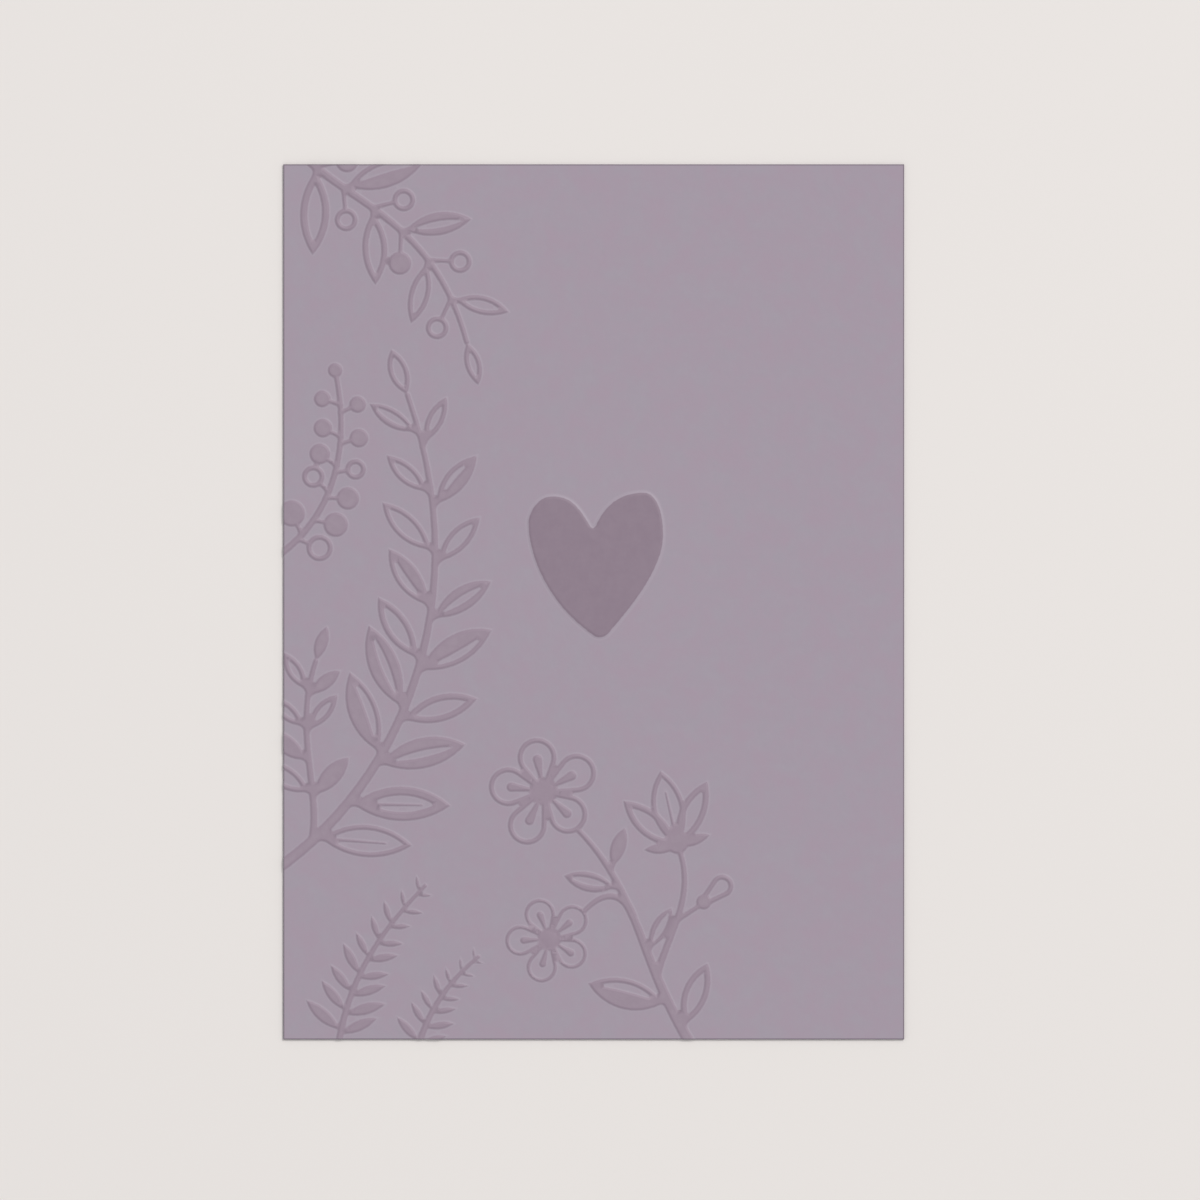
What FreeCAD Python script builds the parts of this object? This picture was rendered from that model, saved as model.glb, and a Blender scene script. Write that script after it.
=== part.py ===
import FreeCAD, Part
import math
import os

from FreeCAD import Vector
from Sketcher import Constraint

# An embossed postcard: one flat sheet of thick uncoated card, lying face up.
# Plant sprays and a heart are pressed up from behind, so they stand above the
# face and leave the same shapes, slightly narrower, sunk into the back.
# Frame: X across the card, Y up the picture, Z up out of the face.
# The origin is the middle of the sheet, on its back face.

# ------------------------------------------------------------ sizes, in mm

SIZES = {
    "card_width": (105, "short side of the sheet"),
    "card_height": (148, "long side of the sheet"),
    "card_thickness": (0.5, "thickness of the card"),
    "relief_height": (0.2, "how far the pressed shapes stand above the face"),
    "press_clearance": (0.15, "a sunk shape is this much smaller all round"),
    "outline_width": (1.2, "raised line round a leaf or petal"),
    "band_width": (2.0, "broad line round a banded leaf, where the leaf has the room"),
    "rib_width": (1.0, "raised line along the middle of a leaf, at its foot"),
    "slit_width": (0.8, "narrow opening along the middle of a slit leaf"),
    "stalk_width": (1.1, "stalk of a leaf or berry"),
    "stem_width": (2.3, "main stem of a spray, at its foot"),
    "twig_width": (1.6, "side twig, at its foot"),
    "shoot_width": (1.2, "stem or twig, at its tip"),
    "branch_leaf": (17.0, "longest leaf of the leafy branch"),
    "twig_leaf": (9.4, "longest leaf of its twig"),
    "blossom_leaf": (13.4, "longest leaf of the blossom spray"),
    "blossom_radius": (9.6, "larger open blossom, centre to petal end"),
    "small_blossom_radius": (7.6, "smaller open blossom"),
    "sprig_leaf": (14.6, "longest leaf of the berry sprig"),
    "berry_radius": (2.1, "berry"),
    "coin_radius": (2.4, "largest round leaf of the coin twig"),
    "fern_leaf": (7.6, "longest leaflet of the larger fern"),
    "small_fern_leaf": (5.6, "longest leaflet of the smaller fern"),
    "heart_width": (23.6, "heart, side to side"),
    "heart_height": (25.3, "heart, top of its higher lobe to its tip"),
    "heart_right": (0.34, "middle of the heart, right of the card's middle"),
    "heart_up": (6.23, "middle of the heart, above the card's middle"),
}

doc = FreeCAD.newDocument("Postcard")
sheet = doc.addObject("Spreadsheet::Sheet", "Sizes")
for row, (alias, (value, meaning)) in enumerate(SIZES.items(), start=1):
    sheet.set(f"A{row}", alias)
    sheet.set(f"B{row}", str(value))
    sheet.set(f"C{row}", meaning)
    sheet.setAlias(f"B{row}", alias)
doc.recompute()


def size(alias):
    """One of the sheet's sizes, in mm."""
    return float(sheet.get(alias))


# -------------------------------------------------- directions and curves

def step(point, angle, distance):
    """Where going distance from point along angle, in radians, ends."""
    return point + Vector(math.cos(angle), math.sin(angle)) * distance


def curve(*points):
    """Cubic Bezier curve with these four control points, each an (x, y)."""
    bezier = Part.BezierCurve()
    bezier.setPoles([Vector(*point) for point in points])
    return bezier


def place_on(bezier, share):
    """Point and direction of a curve where its parameter, 0 to 1, is share."""
    along = bezier.tangent(share)[0]
    return bezier.value(share), math.atan2(along.y, along.x)


def face_of(*curves):
    """Flat face inside curves that follow one another round its outline."""
    return Part.Face(Part.Wire([one.toShape() for one in curves]))


# ---------------------------------------------------------- kinds of stroke

SMALLEST = 0.08  # a stroke whose radius or half width is under this is left out
STEM_POINTS = 9  # places along a stem where its two sides are worked out


def lens_face(base, angle, length, upper, lower, inset):
    """Leaf shape between two arcs, drawn in by inset. The arcs' centres lie on the
    line across its middle, and its two points are where the shortened arcs meet."""
    half = length / 2
    upper_radius = (half**2 + upper**2) / (2 * upper)
    lower_radius = (half**2 + lower**2) / (2 * lower)
    upper_centre = upper - upper_radius
    lower_centre = lower_radius - lower
    upper_radius -= inset
    lower_radius -= inset
    apart = lower_centre - upper_centre
    rise = (apart**2 + upper_radius**2 - lower_radius**2) / (2 * apart)
    if upper_radius - rise < SMALLEST:
        return None
    reach = math.sqrt(upper_radius**2 - rise**2)
    middle = step(base, angle, half)

    def at(along, across):
        return step(step(middle, angle, along), angle + math.pi / 2, across)

    start = at(-reach, upper_centre + rise)
    end = at(reach, upper_centre + rise)
    return face_of(
        Part.Arc(start, at(0, upper_centre + upper_radius), end),
        Part.Arc(end, at(0, lower_centre - lower_radius), start),
    )


def capsule_face(start, start_radius, end, end_radius, inset):
    """Two circles and the straight lines that touch both, drawn in by inset."""
    start_radius -= inset
    end_radius -= inset
    if min(start_radius, end_radius) < SMALLEST:
        return None
    run = end - start
    angle = math.atan2(run.y, run.x)
    lean = math.acos((start_radius - end_radius) / run.Length)
    start_left = step(start, angle + lean, start_radius)
    end_left = step(end, angle + lean, end_radius)
    end_right = step(end, angle - lean, end_radius)
    start_right = step(start, angle - lean, start_radius)
    return face_of(
        Part.LineSegment(start_left, end_left),
        Part.Arc(end_left, step(end, angle, end_radius), end_right),
        Part.LineSegment(end_right, start_right),
        Part.Arc(start_right, step(start, angle, -start_radius), start_left),
    )


def disc_face(centre, radius, inset):
    """Round spot, drawn in by inset."""
    if radius - inset < SMALLEST:
        return None
    return face_of(Part.Circle(centre, Vector(0, 0, 1), radius - inset))


def stem_face(bezier, foot_width, tip_width, inset):
    """Band along a curve, tapering from its foot to its tip, with rounded ends."""
    foot = foot_width / 2 - inset
    tip = tip_width / 2 - inset
    if min(foot, tip) < SMALLEST:
        return None
    left, right = [], []
    for k in range(STEM_POINTS):
        share = k / (STEM_POINTS - 1)
        point, angle = place_on(bezier, share)
        half = foot + (tip - foot) * share
        left.append(step(point, angle + math.pi / 2, half))
        right.append(step(point, angle - math.pi / 2, half))
    left_side, right_side = Part.BSplineCurve(), Part.BSplineCurve()
    left_side.interpolate(left)
    right_side.interpolate(right[::-1])
    foot_point, foot_angle = place_on(bezier, 0)
    tip_point, tip_angle = place_on(bezier, 1)
    return face_of(
        left_side,
        Part.Arc(left[-1], step(tip_point, tip_angle, tip), right[-1]),
        right_side,
        Part.Arc(right[0], step(foot_point, foot_angle, -foot), left[0]),
    )


class Pen:
    """Draws the sprays as flat faces, each stroke drawn in by inset all round. With
    a line, a shape is an outline of that width inside its edge, and with a slit, the
    lens_face values of an opening, it is solid round that opening."""

    def __init__(self, inset):
        self.inset = inset
        self.faces = []

    def draw(self, kind, shape, line=0.0, slit=None):
        """Add the face that kind makes of shape, less its hollow or its slit."""
        outer = kind(*shape, self.inset)
        hollow = None
        if line:
            hollow = kind(*shape, line - self.inset)
        elif slit:
            hollow = lens_face(*slit, -self.inset)
        if outer and hollow:
            outer = outer.cut(hollow)
        if outer:
            self.faces.append(outer)


# ------------------------------------------------------- leaves and flowers

LEAF_CURL = 0.06  # the upper half of a leaf is fuller by this share


def leaf(pen, base, angle, length, slim, fill="rib", stalk=0.0):
    """One leaf, where slim is half its width as a share of its length. Its fill is
    a rib, nothing (open), all of it (solid), all but a slit along its middle (slit),
    its upper or lower half, or a broad band all round and a rib (banded). A rib or
    slit is left out where its leaf is narrow."""
    line = size("outline_width")
    start = step(base, angle, stalk)
    if stalk:
        stalk_radius = size("stalk_width") / 2
        shape = (base, stalk_radius, step(start, angle, line), stalk_radius)
        pen.draw(capsule_face, shape)
    upper = slim * length * (1 + LEAF_CURL)
    lower = slim * length * (1 - LEAF_CURL)
    if fill == "banded":
        line = max(line, min(size("band_width"), 0.3 * (upper + lower)))
    solid = fill in ("solid", "slit") or upper + lower < 2.2 * line
    gap = size("slit_width") / 2
    slit = None
    if fill == "slit" and upper + lower > 6 * gap:
        slit = (step(start, angle, 0.2 * length), angle, 0.6 * length, gap, gap)
    shape = (start, angle, length, upper, lower)
    pen.draw(lens_face, shape, 0.0 if solid else line, slit)
    if fill == "upper":
        pen.draw(lens_face, (start, angle, length, upper, line / 3))
    if fill == "lower":
        pen.draw(lens_face, (start, angle, length, line / 3, lower))
    rib = size("rib_width") / 2
    if fill in ("rib", "banded") and upper + lower - 2 * line > 4.4 * rib:
        pen.draw(capsule_face, (start, rib, step(start, angle, 0.7 * length), 0.65 * rib))


def leaf_pairs(pen, bezier, longest, leaves, missing=()):
    """Leaves on both sides of a stem, evenly spaced, shorter towards its tip. Slow
    waves in their angle and length keep them uneven, as if drawn by hand."""
    for k in range(leaves["pairs"]):
        up = k / (leaves["pairs"] - 1)
        for side in (1, -1):
            if (k, side) in missing:
                continue
            share = leaves["first"] + (leaves["last"] - leaves["first"]) * up
            share -= 0.02 if side < 0 else 0
            point, angle = place_on(bezier, share)
            turn = leaves["angle"] - 8 * up + 3 * math.sin(3.1 * k + side)
            length = longest * (1 + (leaves["taper"] - 1) * up)
            length *= 1 + 0.07 * math.sin(2.2 * k + 1.3 * side)
            fill = leaves["fills"][(k + 1 + side) % len(leaves["fills"])]
            heading = angle + side * math.radians(turn)
            leaf(pen, point, heading, length, leaves["slim"], fill, leaves["stalk"])


def tip_leaf(pen, bezier, length, slim, fill="rib"):
    """The last leaf, in line with the end of its stem."""
    point, angle = place_on(bezier, 1)
    leaf(pen, point, angle, length, slim, fill)


def open_blossom(pen, centre, radius, turn):
    """Five round petals about a solid eye, with a drop-shaped vein in each petal."""
    line = min(size("outline_width"), radius / 8)
    for k in range(5):
        angle = turn + k * math.tau / 5
        uneven = 1 + 0.06 * math.sin(2.3 * k + 3 * turn)
        narrow = step(centre, angle, 0.28 * radius)
        wide = step(centre, angle, 0.63 * radius * uneven)
        pen.draw(capsule_face, (narrow, 0.2 * radius, wide, 0.36 * radius), line)
        vein_foot = step(centre, angle, 0.15 * radius)
        vein_end = step(centre, angle, 0.57 * radius)
        pen.draw(capsule_face, (vein_foot, 0.3 * line, vein_end, 0.1 * radius))
    pen.draw(disc_face, (centre, 0.2 * radius))


def half_blossom(pen, base, angle, length):
    """Blossom seen from the side: three pointed petals over two small sepals."""
    for side in (-1, 1):
        leaf(pen, base, angle + side * math.radians(82), 0.45 * length, 0.17, "solid")
        leaf(pen, base, angle + side * math.radians(37), 0.92 * length, 0.19, "banded")
    leaf(pen, base, angle, length, 0.22)
    pen.draw(disc_face, (step(base, angle, 0.05 * length), 0.15 * length))


def bud(pen, base, angle, length):
    """Closed bud: an egg-shaped outline on a solid cup."""
    narrow = step(base, angle, 0.3 * length)
    wide = step(base, angle, 0.72 * length)
    shape = (narrow, 0.18 * length, wide, 0.29 * length)
    pen.draw(capsule_face, shape, size("outline_width"))
    pen.draw(disc_face, (step(base, angle, 0.15 * length), 0.2 * length))


# --------------------------------------------------------------- the sprays
# Places are in mm from the sheet's lower left corner, and the berry sprig's from
# its upper left one, so each spray stays in its place on a sheet of any size.

BRANCH = {
    "stem": [(-4, 27), (18, 40), (34, 72), (21, 109)],
    "leaves": {
        "pairs": 9, "first": 0.17, "last": 0.94, "taper": 0.54, "angle": 50,
        "slim": 0.182, "stalk": 0.8,
        "fills": ["rib", "banded", "slit", "banded", "upper", "slit", "banded", "lower"],
    },
    "twig_from": 0.14,
    "twig": [(6.5, 42), (1.5, 52), (5.5, 64)],
    "twig_leaves": {
        "pairs": 4, "first": 0.3, "last": 0.85, "taper": 0.76, "angle": 50,
        "slim": 0.2, "stalk": 0.5, "fills": ["solid", "open", "banded"],
    },
}


def leafy_branch(pen):
    """Enters at the left edge, rises and leans back, with a leafy twig by the edge."""
    stem = curve(*BRANCH["stem"])
    pen.draw(stem_face, (stem, size("stem_width"), size("shoot_width")))
    missing = [(0, 1), (1, 1)]
    leaf_pairs(pen, stem, size("branch_leaf"), BRANCH["leaves"], missing)
    tip_leaf(pen, stem, 8.4, 0.22)
    twig = curve(place_on(stem, BRANCH["twig_from"])[0], *BRANCH["twig"])
    pen.draw(stem_face, (twig, size("twig_width"), size("shoot_width")))
    leaf_pairs(pen, twig, size("twig_leaf"), BRANCH["twig_leaves"], missing=[(1, -1)])
    tip_leaf(pen, twig, 6.4, 0.2, "open")


SPRAY = {
    "stem": [(71, -4), (60, 12), (61, 24), (50, 35.3)],
    "blossom": (44, 42),
    "twig_from": 0.33,
    "twig": [(65, 18), (70, 24), (66.8, 32.6)],
    "lower_twig_from": 0.6,
    "lower_twig": [(57, 25.5), (53.8, 24.8), (51, 21.8)],
    "lower_blossom": (45, 17),
    # where on the stem, which side, how much of the longest leaf, and its fill
    "leaves": [
        (0.12, -1, 0.86, "banded"), (0.22, 1, 1.0, "upper"), (0.43, -1, 0.6, "slit"),
        (0.72, 1, 0.68, "slit"), (0.8, -1, 0.54, "solid"),
    ],
}


def blossom_spray(pen):
    """Rises from the bottom edge and leans left, with two open blossoms, one half
    open and a bud."""
    shoot = size("shoot_width")
    stem = curve(*SPRAY["stem"])
    pen.draw(stem_face, (stem, size("stem_width"), shoot))
    open_blossom(pen, Vector(*SPRAY["blossom"]), size("blossom_radius"), 0.5)
    twig = curve(place_on(stem, SPRAY["twig_from"])[0], *SPRAY["twig"])
    pen.draw(stem_face, (twig, size("twig_width"), shoot))
    half_blossom(pen, place_on(twig, 1)[0], math.radians(103), size("blossom_leaf"))
    fork, angle = place_on(twig, 0.45)
    cup = step(fork, angle - math.radians(38), 4.5)
    pen.draw(capsule_face, (fork, shoot / 2, cup, 0.9 * shoot / 2))
    bud(pen, cup, angle - math.radians(30), 7.2)
    lower = curve(place_on(stem, SPRAY["lower_twig_from"])[0], *SPRAY["lower_twig"])
    pen.draw(stem_face, (lower, size("twig_width"), shoot))
    centre = Vector(*SPRAY["lower_blossom"])
    open_blossom(pen, centre, size("small_blossom_radius"), 0.68)
    for share, side, part_of_longest, fill in SPRAY["leaves"]:
        point, angle = place_on(stem, share)
        length = part_of_longest * size("blossom_leaf")
        leaf(pen, point, angle + side * math.radians(50), length, 0.2, fill, 0.8)


SPRIG = {
    "stem": [(1, 4), (10, -7), (25, -8), (31, -30)],
    "nodes": 6, "first": 0.15, "last": 0.875,
    "leaf_angle": 52, "berry_angle": 50, "berry_stalk": 3.9,
    "fills": ["banded", "lower", "banded", "slit", "banded", "rib"],
}


def berry_sprig(pen):
    """Hangs from the top edge. Each node has a slim leaf on one side and a berry on
    the other, and every third berry is solid."""
    top = size("card_height")
    stem = curve(*[(x, top + y) for x, y in SPRIG["stem"]])
    pen.draw(stem_face, (stem, 0.8 * size("stem_width"), size("shoot_width")))
    stalk_radius = size("stalk_width") / 2
    berry_radius = size("berry_radius")
    for k in range(SPRIG["nodes"]):
        down = k / (SPRIG["nodes"] - 1)
        share = SPRIG["first"] + (SPRIG["last"] - SPRIG["first"]) * down
        point, angle = place_on(stem, share)
        side = 1 if k % 2 else -1
        length = size("sprig_leaf") * (1 - down / 3)
        heading = angle + side * math.radians(SPRIG["leaf_angle"])
        leaf(pen, point, heading, length, 0.18, SPRIG["fills"][k], 0.6)
        heading = angle - side * math.radians(SPRIG["berry_angle"])
        foot = step(point, heading, SPRIG["berry_stalk"])
        pen.draw(capsule_face, (point, stalk_radius, foot, 0.9 * stalk_radius))
        centre = step(foot, heading, 0.75 * berry_radius)
        line = size("outline_width") if k % 3 else 0.0
        pen.draw(disc_face, (centre, berry_radius), line)
    tip_leaf(pen, stem, 7.8, 0.2)


COIN_TWIG = {
    "stem": [(-4, 80), (6, 85), (12, 96), (9, 112)],
    "pairs": 6, "first": 0.27, "last": 0.9, "angle": 67,
    "taper": 0.66, "stalk": 1.0, "missing": [(1, 1)],
}


def coin_twig(pen):
    """Rises from the left edge, with pairs of round leaves that get smaller towards
    its tip and one at the tip. Some of the larger leaves are rings."""
    stem = curve(*COIN_TWIG["stem"])
    line = size("outline_width")
    stalk_radius = size("stalk_width") / 2
    reach = size("shoot_width") / 2 + COIN_TWIG["stalk"]
    pen.draw(stem_face, (stem, size("twig_width"), size("shoot_width")))
    for k in range(COIN_TWIG["pairs"]):
        up = k / (COIN_TWIG["pairs"] - 1)
        radius = size("coin_radius") * (1 + (COIN_TWIG["taper"] - 1) * up)
        for side in (1, -1):
            if (k, side) in COIN_TWIG["missing"]:
                continue
            share = COIN_TWIG["first"] + (COIN_TWIG["last"] - COIN_TWIG["first"]) * up
            share -= 0.03 if side < 0 else 0
            point, angle = place_on(stem, share)
            heading = angle + side * math.radians(COIN_TWIG["angle"])
            foot = step(point, heading, reach + line / 4)
            pen.draw(capsule_face, (point, stalk_radius, foot, 0.9 * stalk_radius))
            centre = step(point, heading, reach + radius)
            ring = (k + (side > 0)) % 3 == 0 and radius > 1.5 * line
            pen.draw(disc_face, (centre, radius), line if ring else 0.0)
    point, angle = place_on(stem, 1)
    pen.draw(disc_face, (step(point, angle, 1.2), 1.4))


FERN_LEAVES = {
    "first": 0.16, "last": 0.96, "taper": 0.4, "angle": 58,
    "slim": 0.15, "stalk": 0.0, "fills": ["solid"],
}
FERNS = {
    "fern_leaf": ([(9, -4), (10, 8), (15, 17), (24, 26)], 9),
    "small_fern_leaf": ([(22, -4), (24, 4), (27, 9), (33, 14)], 7),
}


def ferns(pen):
    """Two fronds of small solid leaflets, side by side from the bottom edge."""
    for leaf_size, (points, pairs) in FERNS.items():
        stem = curve(*points)
        pen.draw(stem_face, (stem, size("twig_width"), 0.8 * size("shoot_width")))
        leaf_pairs(pen, stem, size(leaf_size), dict(FERN_LEAVES, pairs=pairs))


def foliage(inset):
    """All the sprays as one flat shape, cut off at the sheet's edges: the whole
    rectangle, less the bare ground that the strokes leave of it."""
    pen = Pen(inset)
    leafy_branch(pen)
    blossom_spray(pen)
    berry_sprig(pen)
    coin_twig(pen)
    ferns(pen)
    rectangle = Part.makePlane(size("card_width"), size("card_height"))
    bare_ground = rectangle.cut(pen.faces)
    return rectangle.cut(bare_ground)


# ---------------------------------------------------------------- the heart
# Shares of half its width and half its height, from its middle: the notch, the
# left lobe, the left side, the rounded tip, the right side and the right lobe,
# which is a little higher. Every third point is on the outline.

HEART = [
    (-0.04, 0.52),
    (-0.19, 0.75), (-0.30, 0.95), (-0.62, 0.95),
    (-0.89, 0.95), (-1.00, 0.66), (-1.00, 0.58),
    (-1.00, 0.14), (-0.74, -0.53), (-0.03, -0.98),
    (0.03, -1.01), (0.13, -1.01), (0.21, -0.93),
    (0.47, -0.64), (1.00, -0.09), (1.00, 0.40),
    (1.00, 0.76), (0.88, 1.00), (0.69, 1.00),
    (0.31, 1.00), (0.09, 0.80), (-0.04, 0.52),
]


def heart(inset):
    """The heart as a flat face about the sheet's middle, smaller by inset on each of
    its four sides."""
    half_width = size("heart_width") / 2 - inset
    half_height = size("heart_height") / 2 - inset
    middle = Vector(size("heart_right"), size("heart_up"))
    points = [middle + Vector(x * half_width, y * half_height) for x, y in HEART]
    return face_of(*[curve(*points[k:k + 4]) for k in range(0, len(points) - 1, 3)])


# --------------------------------------------------------------- the sheet

def origin_plane(body, role):
    """One of a body's own three planes, by its role."""
    for feature in body.Origin.OriginFeatures:
        if feature.Role == role:
            return feature
    raise RuntimeError(f"{body.Name} has no {role}")


def make_sheet():
    """The plain sheet: a rectangle about the origin, padded to the card's thickness."""
    body = doc.addObject("PartDesign::Body", "PlainSheet")
    outline = body.newObject("Sketcher::SketchObject", "SheetOutline")
    outline.AttachmentSupport = [(origin_plane(body, "XY_Plane"), "")]
    outline.MapMode = "FlatFace"
    half_width = size("card_width") / 2
    half_height = size("card_height") / 2
    corners = [
        Vector(-half_width, -half_height), Vector(half_width, -half_height),
        Vector(half_width, half_height), Vector(-half_width, half_height),
    ]
    for k in range(4):
        outline.addGeometry(Part.LineSegment(corners[k], corners[(k + 1) % 4]), False)
    constrain_rectangle(outline)
    pad = body.newObject("PartDesign::Pad", "SheetPad")
    pad.Profile = outline
    pad.setExpression("Length", "Sizes.card_thickness")
    return body


def constrain_rectangle(sketch):
    """Join the four sides in turn, keep them level and upright, centre them on the
    sketch's origin and tie the lower and left sides to the card's size."""
    start, end, origin = 1, 2, -1
    for k in range(4):
        sketch.addConstraint(Constraint("Coincident", k, end, (k + 1) % 4, start))
    for side in (0, 2):
        sketch.addConstraint(Constraint("Horizontal", side))
    for side in (1, 3):
        sketch.addConstraint(Constraint("Vertical", side))
    sketch.addConstraint(Constraint("Symmetric", 0, start, 2, start, origin, start))
    for name, side, length in (("width", 0, "card_width"), ("height", 3, "card_height")):
        sketch.addConstraint(Constraint("Distance", side, size(length)))
        sketch.renameConstraint(sketch.ConstraintCount - 1, name)
        sketch.setExpression(f"Constraints.{name}", f"Sizes.{length}")


def make_relief(name, shape, corner, z, height):
    """A flat shape drawn as an object and extruded up from z by height. A shape that
    is measured from the sheet's corner is moved there. All are expressions."""
    drawn = doc.addObject("Part::Feature", name + "Outline")
    drawn.Shape = shape
    if corner:
        drawn.setExpression("Placement.Base.x", "-Sizes.card_width / 2")
        drawn.setExpression("Placement.Base.y", "-Sizes.card_height / 2")
    drawn.setExpression("Placement.Base.z", z)
    solid = doc.addObject("Part::Extrusion", name)
    solid.Base = drawn
    solid.DirMode = "Custom"
    solid.Dir = Vector(0, 0, 1)
    solid.setExpression("LengthFwd", height)
    solid.Solid = True
    return solid


def make_card():
    """The sheet with its shapes raised on the face and sunk into the back."""
    inset = size("press_clearance")
    top, rise = "Sizes.card_thickness", "Sizes.relief_height"
    raised = doc.addObject("Part::MultiFuse", "RaisedSheet")
    raised.Shapes = [
        make_sheet(),
        make_relief("RaisedSprays", foliage(0), True, top, rise),
        make_relief("RaisedHeart", heart(0), False, top, rise),
    ]
    raised.Refine = True
    sunk = doc.addObject("Part::MultiFuse", "SunkShapes")
    sunk.Shapes = [
        make_relief("SunkSprays", foliage(inset), True, "0", rise),
        make_relief("SunkHeart", heart(inset), False, "0", rise),
    ]
    card = doc.addObject("Part::Cut", "Card")
    card.Base = raised
    card.Tool = sunk
    card.Label = "card"
    card.Placement = FreeCAD.Placement()
    return card


# ------------------------------------------------------ build, test, write

def check(card):
    """Stop if an object failed, or if the card isn't one sound solid of its size."""
    for each in doc.Objects:
        if {"Invalid", "Error"} & set(each.State):
            raise RuntimeError(f"{each.Name} failed: {each.State}")
    shape = card.Shape
    if shape.isNull() or not shape.isValid() or len(shape.Solids) != 1:
        raise RuntimeError("the card isn't one valid solid")
    box = shape.optimalBoundingBox(False, False)
    wanted = (
        size("card_width"), size("card_height"),
        size("card_thickness") + size("relief_height"),
    )
    for name, has, want in zip("XYZ", (box.XLength, box.YLength, box.ZLength), wanted):
        if abs(has - want) > 0.001:
            raise RuntimeError(f"the card measures {has:.3f} along {name}, not {want}")
    plain = wanted[0] * wanted[1] * size("card_thickness")
    raised = sum(doc.getObject(name).Shape.Volume for name in ("RaisedSprays", "RaisedHeart"))
    sunk = doc.getObject("SunkShapes").Shape.Volume
    if abs(shape.Volume - (plain + raised - sunk)) > 0.001 * plain:
        raise RuntimeError("the relief's volume doesn't add up")
    print(f"card {shape.Volume:.1f} mm3, raised {raised:.1f}, sunk {sunk:.1f},"
          f" {len(shape.Faces)} faces")


postcard = make_card()
doc.recompute()
check(postcard)
os.makedirs("parts", exist_ok=True)
postcard.Shape.exportStep(f"parts/{postcard.Label}.step")
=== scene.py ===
import math

import bpy
import numpy as np
from mathutils.geometry import delaunay_2d_cdt
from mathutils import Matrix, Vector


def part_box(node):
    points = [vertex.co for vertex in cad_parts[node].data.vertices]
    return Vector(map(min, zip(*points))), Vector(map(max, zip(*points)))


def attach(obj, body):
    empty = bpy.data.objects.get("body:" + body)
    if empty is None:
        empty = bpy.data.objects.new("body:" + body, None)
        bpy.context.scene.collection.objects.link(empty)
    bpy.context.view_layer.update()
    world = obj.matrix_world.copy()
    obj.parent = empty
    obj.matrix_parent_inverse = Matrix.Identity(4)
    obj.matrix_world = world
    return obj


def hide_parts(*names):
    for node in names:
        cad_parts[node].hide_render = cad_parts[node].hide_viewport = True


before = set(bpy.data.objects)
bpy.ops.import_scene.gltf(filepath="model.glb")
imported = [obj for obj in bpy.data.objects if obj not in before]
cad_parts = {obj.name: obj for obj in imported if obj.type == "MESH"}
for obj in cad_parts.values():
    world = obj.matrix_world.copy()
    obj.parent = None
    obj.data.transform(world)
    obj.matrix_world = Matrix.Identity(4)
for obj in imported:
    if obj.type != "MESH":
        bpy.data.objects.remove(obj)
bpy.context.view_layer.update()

mm = 0.001            # the drawing is in millimetres, Blender is in metres

# The sheet's own size comes from the frame. The drawing is measured from its lower left corner.
cardLow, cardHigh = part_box("card")
cardWidth = (cardHigh[0] - cardLow[0]) / mm
cardHeight = (cardHigh[1] - cardLow[1]) / mm
cardDepth = (cardHigh[2] - cardLow[2]) / mm

press = {
    "rise": 0.2,        # how far the pressed shapes stand above the face
    "slope": 0.6,       # width of their sloping sides
    "junction": 0.35,   # how softly strokes run together where they meet
    "backInset": 0.15,  # the shapes sunk into the back are this much smaller all round
    "backSlope": 0.5,   # and their sides are this wide
    "cutRound": 0.06,   # rounding of the cut edges
}
pen = {
    "outline": 1.2,  # raised line round a leaf or petal
    "band": 2.0,     # broad line round a banded leaf, where the leaf has the room
    "rib": 1.0,      # raised line along the middle of a leaf, at its foot
    "slit": 0.8,     # narrow opening along the middle of a slit leaf
    "stalk": 1.1,    # stalk of a leaf or berry
    "stem": 2.3,     # main stem of a spray, at its foot
    "twig": 1.6,     # side twig, at its foot
    "shoot": 1.2,    # stem or twig, at its tip
}
strokes = []       # every raised stroke, as addStroke keeps it
strokeReach = 1.2  # distances from a stroke are worked out this far from it
traced = {  # points or runs worked out along each shape, before evenly spaces them
    "lensSide": 80, "capsule": 160, "capsuleSpine": 40, "disc": 100,
    "stem": 80, "stemTip": 20, "stemRuns": 28, "heartCurve": 16,
}


# The point reached by going distance along angle.
def step(point, angle, distance):
    return (point[0] + distance * math.cos(angle), point[1] + distance * math.sin(angle))


# Point of a cubic Bezier curve where its parameter is share: the four control points weighted by
# (1-t)^3, 3(1-t)^2 t, 3(1-t) t^2 and t^3. Its direction is that of the weights' derivative. An array
# of shares gives arrays of points and angles.
def placeOn(curve, share):
    a, b, c, d = np.array(curve, float)
    t = np.asarray(share, float)[..., None]
    u = 1 - t
    point = u**3 * a + 3 * u * u * t * b + 3 * u * t * t * c + t**3 * d
    along = u * u * (b - a) + 2 * u * t * (c - b) + t * t * (d - c)
    return point, np.arctan2(along[..., 1], along[..., 0])


# Leaf: the overlap of two discs whose circles meet at its two ends. One circle rises above the
# middle by upper, the other falls below it by lower. The distance is the larger of the two.
def lensDistance(x, y, base, angle, length, upper, lower):
    half = length / 2
    upperRadius = (half**2 + upper**2) / (2 * upper)
    lowerRadius = (half**2 + lower**2) / (2 * lower)
    middle = step(base, angle, half)
    across = angle + math.pi / 2
    upperX, upperY = step(middle, across, upper - upperRadius)
    lowerX, lowerY = step(middle, across, lowerRadius - lower)
    return np.maximum(np.hypot(x - upperX, y - upperY) - upperRadius,
                      np.hypot(x - lowerX, y - lowerY) - lowerRadius)


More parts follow.
